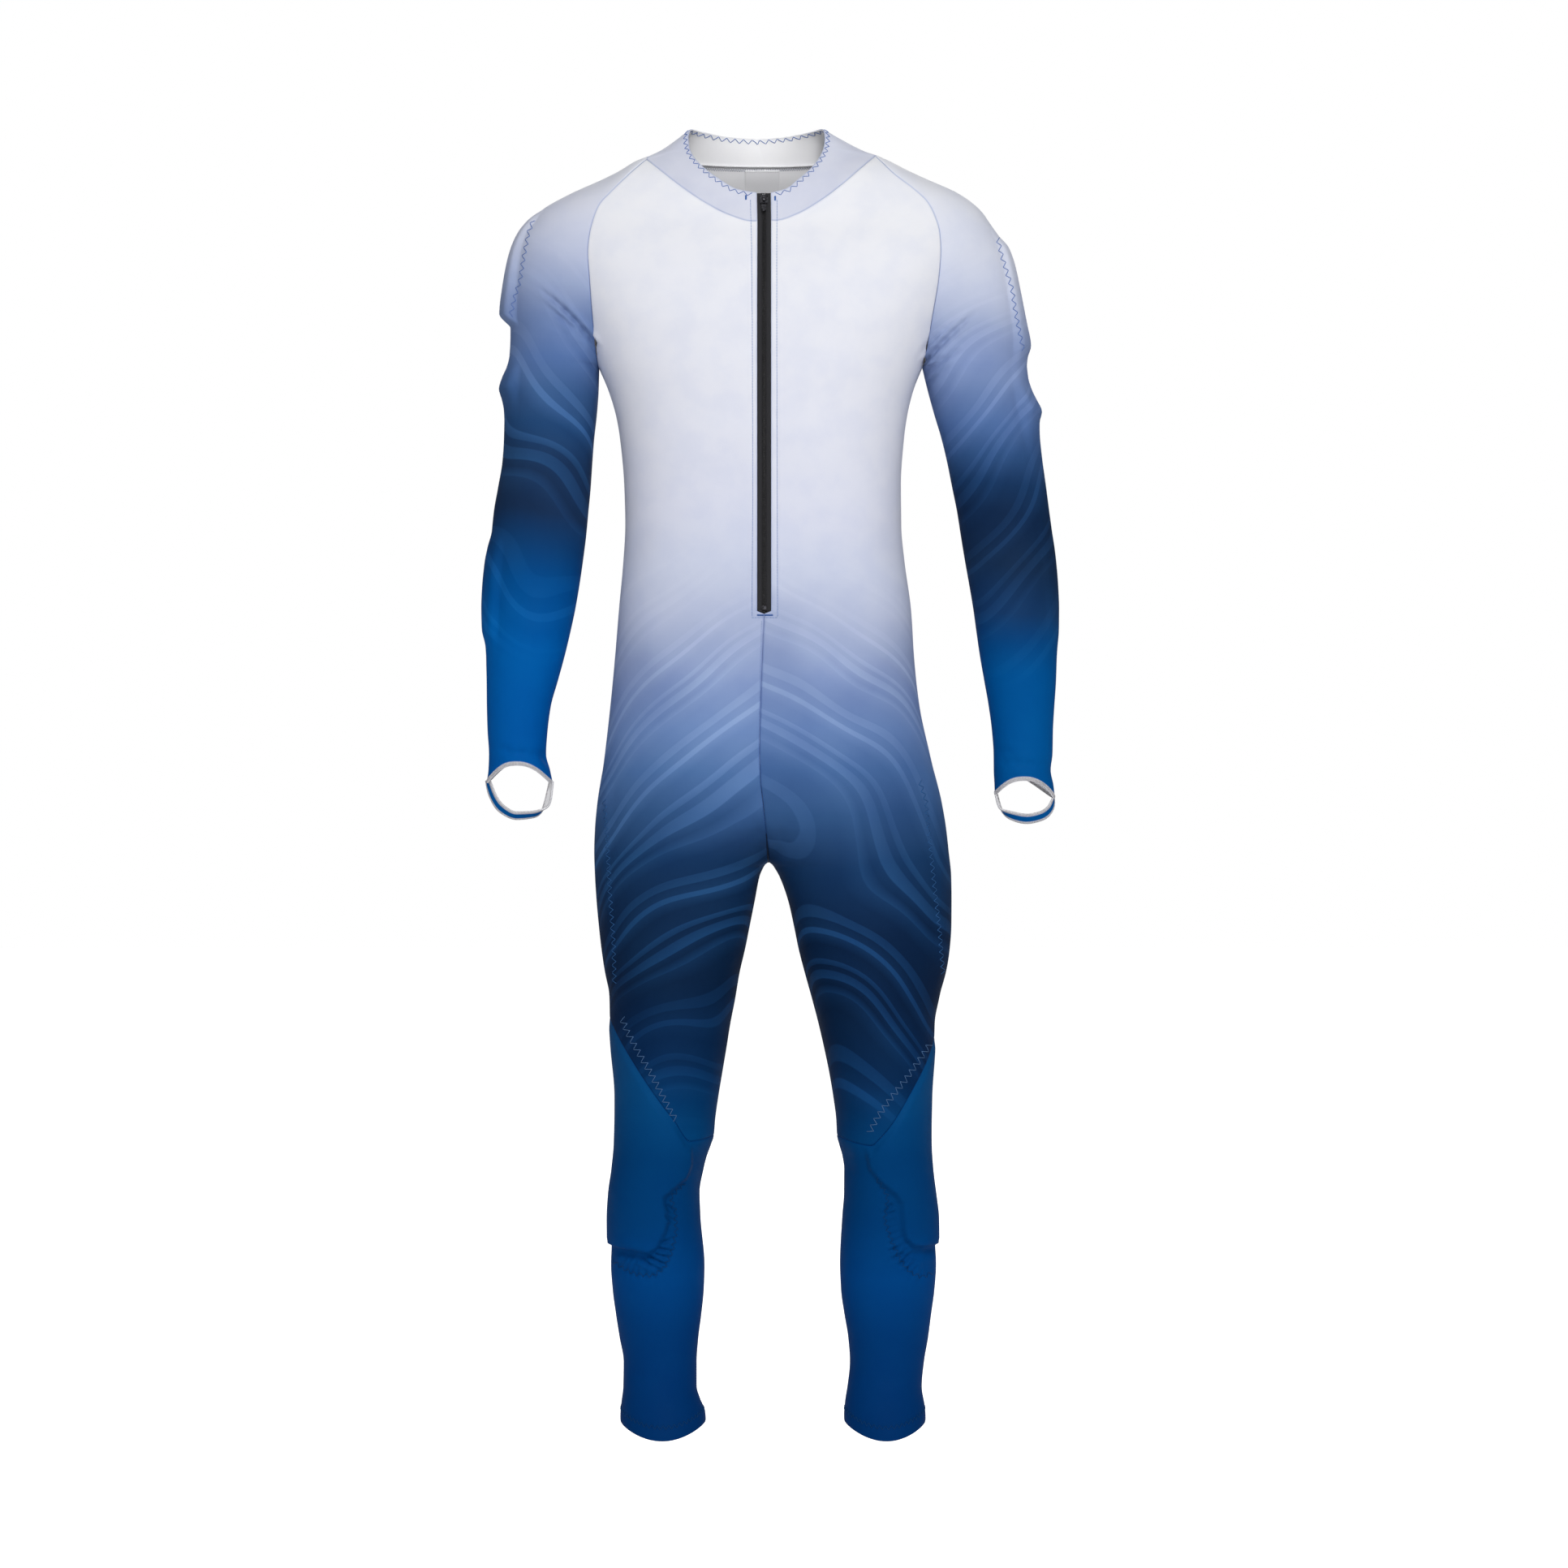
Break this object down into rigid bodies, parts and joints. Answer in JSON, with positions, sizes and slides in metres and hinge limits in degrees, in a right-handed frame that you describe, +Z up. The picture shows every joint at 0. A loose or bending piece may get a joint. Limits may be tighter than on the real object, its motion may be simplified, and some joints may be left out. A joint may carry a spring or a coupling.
{
  "type": "race suit",
  "caption": "One-piece stretch race suit in its worn shape, hollow, with raglan sleeves, hand loops, pads under the cloth, a funnel collar and a front zip.",
  "frame": {"origin": "where the wearer's shoulders hold the suit: mid-way between them, level with the side of the neck", "axes": "+Z up the wearer's body, +X to the wearer's left, and the front with its zip faces -Y"},
  "size_m": [0.6535, 0.2383, 1.4827],
  "materials": {
    "body_cloth": "satin",
    "sleeve_cloth": "satin",
    "leg_cloth": "satin",
    "collar_cloth": "satin",
    "loop_cloth": "satin",
    "zip_tape": "matt",
    "zip_coil": "matt",
    "zip_metal": "semi-gloss",
    "label_satin": "satin"
  },
  "bodies": {
    "suit": {"front_right": "body_cloth", "front_left": "body_cloth", "back_right": "body_cloth", "back_left": "body_cloth", "sleeve_right": "sleeve_cloth", "sleeve_left": "sleeve_cloth", "lower_leg_right": "leg_cloth", "lower_leg_left": "leg_cloth", "collar": "collar_cloth", "hand_loop_right": "loop_cloth", "hand_loop_left": "loop_cloth", "zip_tape_right": "zip_tape", "zip_tape_left": "zip_tape", "zip_coil": "zip_coil", "zip_slider": "zip_metal", "zip_stop": "zip_metal", "neck_label": "label_satin"},
    "pull_tab": {"zip_pull": "zip_metal"}
  },
  "joints": [
    {"name": "pull_tab_swing", "type": "hinge", "parent": "suit", "child": "pull_tab", "pos_m": [-0.00043, -0.06956, -0.05606], "axis": [-1, 0, 0], "range_deg": [0, 150]}
  ]
}
